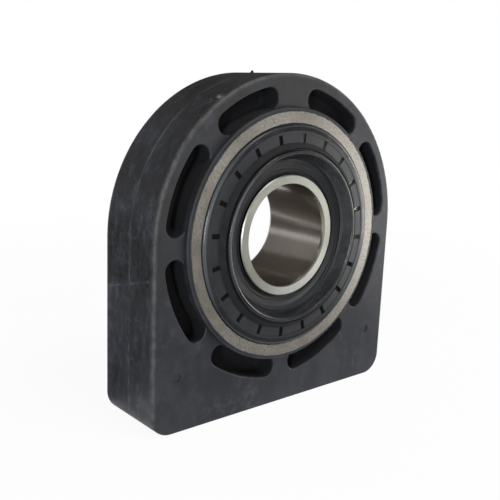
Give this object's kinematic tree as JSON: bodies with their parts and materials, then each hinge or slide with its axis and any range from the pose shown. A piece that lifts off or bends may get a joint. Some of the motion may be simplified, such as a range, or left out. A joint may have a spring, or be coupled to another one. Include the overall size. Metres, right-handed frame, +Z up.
{
  "type": "driveshaft centre bearing",
  "caption": "Driveshaft centre bearing: a sealed ball bearing in a steel ring, held in a slotted rubber block with an arched top and a flat base.",
  "frame": {"origin": "on the bearing's axis, half way through the inner race", "axes": "+Z up from the flat base to the arch, +Y along the shaft from the front face to the rear, +X to the right as seen from the front"},
  "size_m": [0.187, 0.0644, 0.1988],
  "materials": {
    "block_rubber": "satin",
    "ring_steel": "matt",
    "race_steel": "ground",
    "ball_steel": "polished",
    "cage_steel": "pressed",
    "rivet_steel": "formed",
    "clip_steel": "blackened",
    "case_steel": "plated",
    "seal_rubber": "satin",
    "spring_steel": "drawn"
  },
  "bodies": {
    "housing": {"rubber_block": "block_rubber", "housing_ring": "ring_steel", "outer_race": "race_steel", "retaining_ring": "clip_steel", "front_seal_case": "case_steel", "front_seal_rubber": "seal_rubber", "front_garter_spring": "spring_steel", "rear_seal_case": "case_steel", "rear_seal_rubber": "seal_rubber", "rear_garter_spring": "spring_steel"},
    "inner_race": {"inner_race": "race_steel"},
    "cage": {"cage_front": "cage_steel", "cage_rear": "cage_steel", "cage_rivets": "rivet_steel"},
    "ball_1": {"ball_1": "ball_steel"},
    "ball_2": {"ball_2": "ball_steel"},
    "ball_3": {"ball_3": "ball_steel"},
    "ball_4": {"ball_4": "ball_steel"},
    "ball_5": {"ball_5": "ball_steel"},
    "ball_6": {"ball_6": "ball_steel"},
    "ball_7": {"ball_7": "ball_steel"},
    "ball_8": {"ball_8": "ball_steel"}
  },
  "joints": [
    {"name": "inner_race_spin", "type": "hinge", "parent": "housing", "child": "inner_race", "pos_m": [0, 0, 0], "axis": [0, -1, 0], "continuous": true},
    {"name": "cage_spin", "type": "hinge", "parent": "housing", "child": "cage", "pos_m": [0, 0, 0], "axis": [0, -1, 0], "continuous": true},
    {"name": "ball_1_spin", "type": "hinge", "parent": "cage", "child": "ball_1", "pos_m": [0.04388, 0, 0.01818], "axis": [0, -1, 0], "continuous": true},
    {"name": "ball_2_spin", "type": "hinge", "parent": "cage", "child": "ball_2", "pos_m": [0.01818, 0, 0.04388], "axis": [0, -1, 0], "continuous": true},
    {"name": "ball_3_spin", "type": "hinge", "parent": "cage", "child": "ball_3", "pos_m": [-0.01818, 0, 0.04388], "axis": [0, -1, 0], "continuous": true},
    {"name": "ball_4_spin", "type": "hinge", "parent": "cage", "child": "ball_4", "pos_m": [-0.04388, 0, 0.01818], "axis": [0, -1, 0], "continuous": true},
    {"name": "ball_5_spin", "type": "hinge", "parent": "cage", "child": "ball_5", "pos_m": [-0.04388, 0, -0.01818], "axis": [0, -1, 0], "continuous": true},
    {"name": "ball_6_spin", "type": "hinge", "parent": "cage", "child": "ball_6", "pos_m": [-0.01818, 0, -0.04388], "axis": [0, -1, 0], "continuous": true},
    {"name": "ball_7_spin", "type": "hinge", "parent": "cage", "child": "ball_7", "pos_m": [0.01818, 0, -0.04388], "axis": [0, -1, 0], "continuous": true},
    {"name": "ball_8_spin", "type": "hinge", "parent": "cage", "child": "ball_8", "pos_m": [0.04388, 0, -0.01818], "axis": [0, -1, 0], "continuous": true}
  ],
  "couplings": [
    {"joint": "cage_spin", "follows": "inner_race_spin", "ratio": 0.38303},
    {"joint": "ball_1_spin", "follows": "inner_race_spin", "ratio": -2.0203},
    {"joint": "ball_2_spin", "follows": "inner_race_spin", "ratio": -2.0203},
    {"joint": "ball_3_spin", "follows": "inner_race_spin", "ratio": -2.0203},
    {"joint": "ball_4_spin", "follows": "inner_race_spin", "ratio": -2.0203},
    {"joint": "ball_5_spin", "follows": "inner_race_spin", "ratio": -2.0203},
    {"joint": "ball_6_spin", "follows": "inner_race_spin", "ratio": -2.0203},
    {"joint": "ball_7_spin", "follows": "inner_race_spin", "ratio": -2.0203},
    {"joint": "ball_8_spin", "follows": "inner_race_spin", "ratio": -2.0203}
  ]
}
